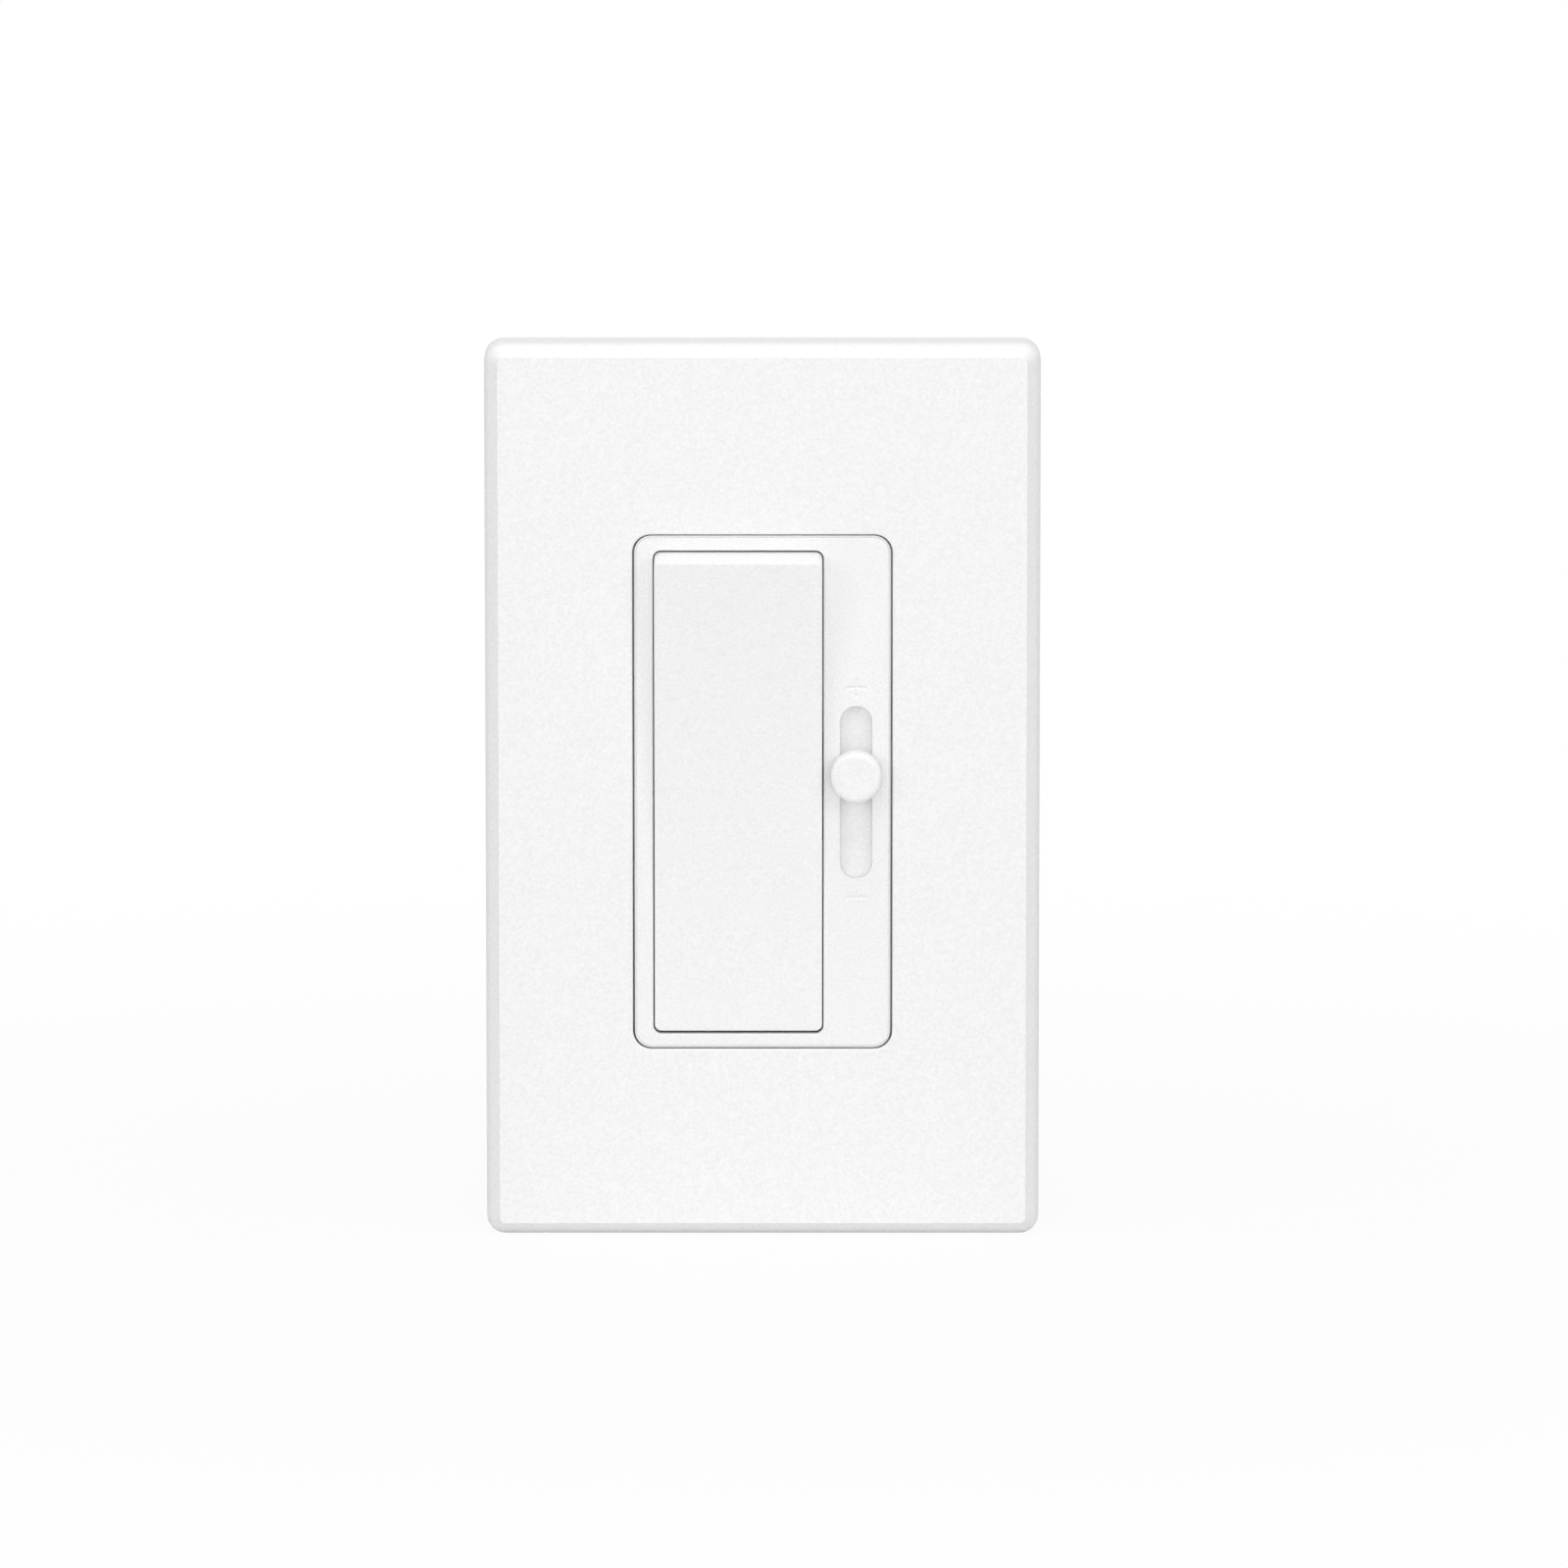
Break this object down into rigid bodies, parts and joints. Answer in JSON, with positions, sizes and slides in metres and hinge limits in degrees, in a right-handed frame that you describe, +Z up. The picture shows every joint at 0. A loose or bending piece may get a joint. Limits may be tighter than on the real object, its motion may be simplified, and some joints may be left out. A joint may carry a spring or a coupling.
{
  "type": "paddle dimmer switch",
  "caption": "Rectangular screwless wallplate and paddle dimmer with a sliding brightness knob, on a mounting strap with a wiring housing behind it.",
  "frame": {"origin": "midway between the two box screws, in the plane of the wall that the strap's back lies on", "axes": "+Y goes into the wall along the box screws, +Z is up along the wallplate's long side, +X is to the right seen from the room"},
  "size_m": [0.071, 0.0418, 0.1158],
  "materials": {
    "cover_plastic": "fine matte",
    "control_plastic": "fine matte",
    "adapter_plastic": "matte",
    "guide_plastic": "natural acetal",
    "screw_steel": "zinc plated",
    "strap_aluminium": "mill finish",
    "retainer_fibre": "matte",
    "pin_steel": "dark phosphate",
    "spring_steel": "drawn wire",
    "contact_brass": "stamped",
    "contact_silver": "silver alloy",
    "base_plastic": "moulded",
    "housing_plastic": "moulded",
    "black_screw": "black oxide",
    "green_screw": "green lacquer",
    "board_laminate": "laminate",
    "pot_steel": "tin plated",
    "track_carbon": "carbon film",
    "triac_epoxy": "moulded epoxy on a plated tab",
    "pad_mica": "insulating pad",
    "rivet_aluminium": "turned",
    "choke_iron": "pressed powder",
    "winding_copper": "enamelled wire",
    "capacitor_film": "dipped",
    "capacitor_small": "dipped",
    "resistor_body": "lacquered",
    "diode_body": "lacquered"
  },
  "bodies": {
    "device": {"wallplate_cover": "cover_plastic", "wallplate_adapter": "adapter_plastic", "adapter_screws": "screw_steel", "mounting_strap": "strap_aluminium", "box_screws": "screw_steel", "screw_retainers": "retainer_fibre", "front_bezel": "control_plastic", "paddle_pins": "pin_steel", "switch_base": "base_plastic", "fulcrum_terminal": "contact_brass", "traveller_contacts": "contact_silver", "slider_guide": "guide_plastic", "pot_can": "pot_steel", "pot_track": "track_carbon", "housing": "housing_plastic", "housing_screws": "screw_steel", "common_terminal": "contact_brass", "common_screw": "black_screw", "traveller_terminals": "contact_brass", "traveller_screws": "contact_brass", "ground_screw": "green_screw", "circuit_board": "board_laminate", "triac": "triac_epoxy", "triac_insulator": "pad_mica", "triac_rivet": "rivet_aluminium", "choke_core": "choke_iron", "choke_winding": "winding_copper", "filter_capacitor": "capacitor_film", "timing_capacitor": "capacitor_small", "resistors": "resistor_body", "trigger_diode": "diode_body"},
    "paddle": {"paddle": "control_plastic"},
    "plunger": {"plunger": "guide_plastic", "plunger_spring": "spring_steel"},
    "contact_rocker": {"contact_rocker": "contact_brass", "moving_contacts": "contact_silver"},
    "slider": {"slider_knob": "control_plastic", "slider_carriage": "control_plastic", "drive_leg": "guide_plastic", "pot_wiper": "guide_plastic", "pot_brush": "contact_brass"}
  },
  "joints": [
    {"name": "paddle_rock", "type": "hinge", "parent": "device", "child": "paddle", "pos_m": [-0.0031, -0.003, 0], "axis": [-1, 0, 0], "range_deg": [0, 7.4]},
    {"name": "plunger_press", "type": "slide", "parent": "paddle", "child": "plunger", "axis": [0, -0.9979, -0.0645], "range_m": [0, 0.0007], "stiffness_N_per_m": 100, "deforming": ["plunger_spring"]},
    {"name": "contact_rock", "type": "hinge", "parent": "device", "child": "contact_rocker", "pos_m": [-0.0031, 0.00915, 0], "axis": [-1, 0, 0], "range_deg": [-14, 0]},
    {"name": "slider_travel", "type": "slide", "parent": "device", "child": "slider", "axis": [0, 0, 1], "range_m": [-0.01145, 0.00665]}
  ],
  "couplings": [
    {"joint": "contact_rock", "follows": "paddle_rock", "ratio": -1.8919}
  ]
}
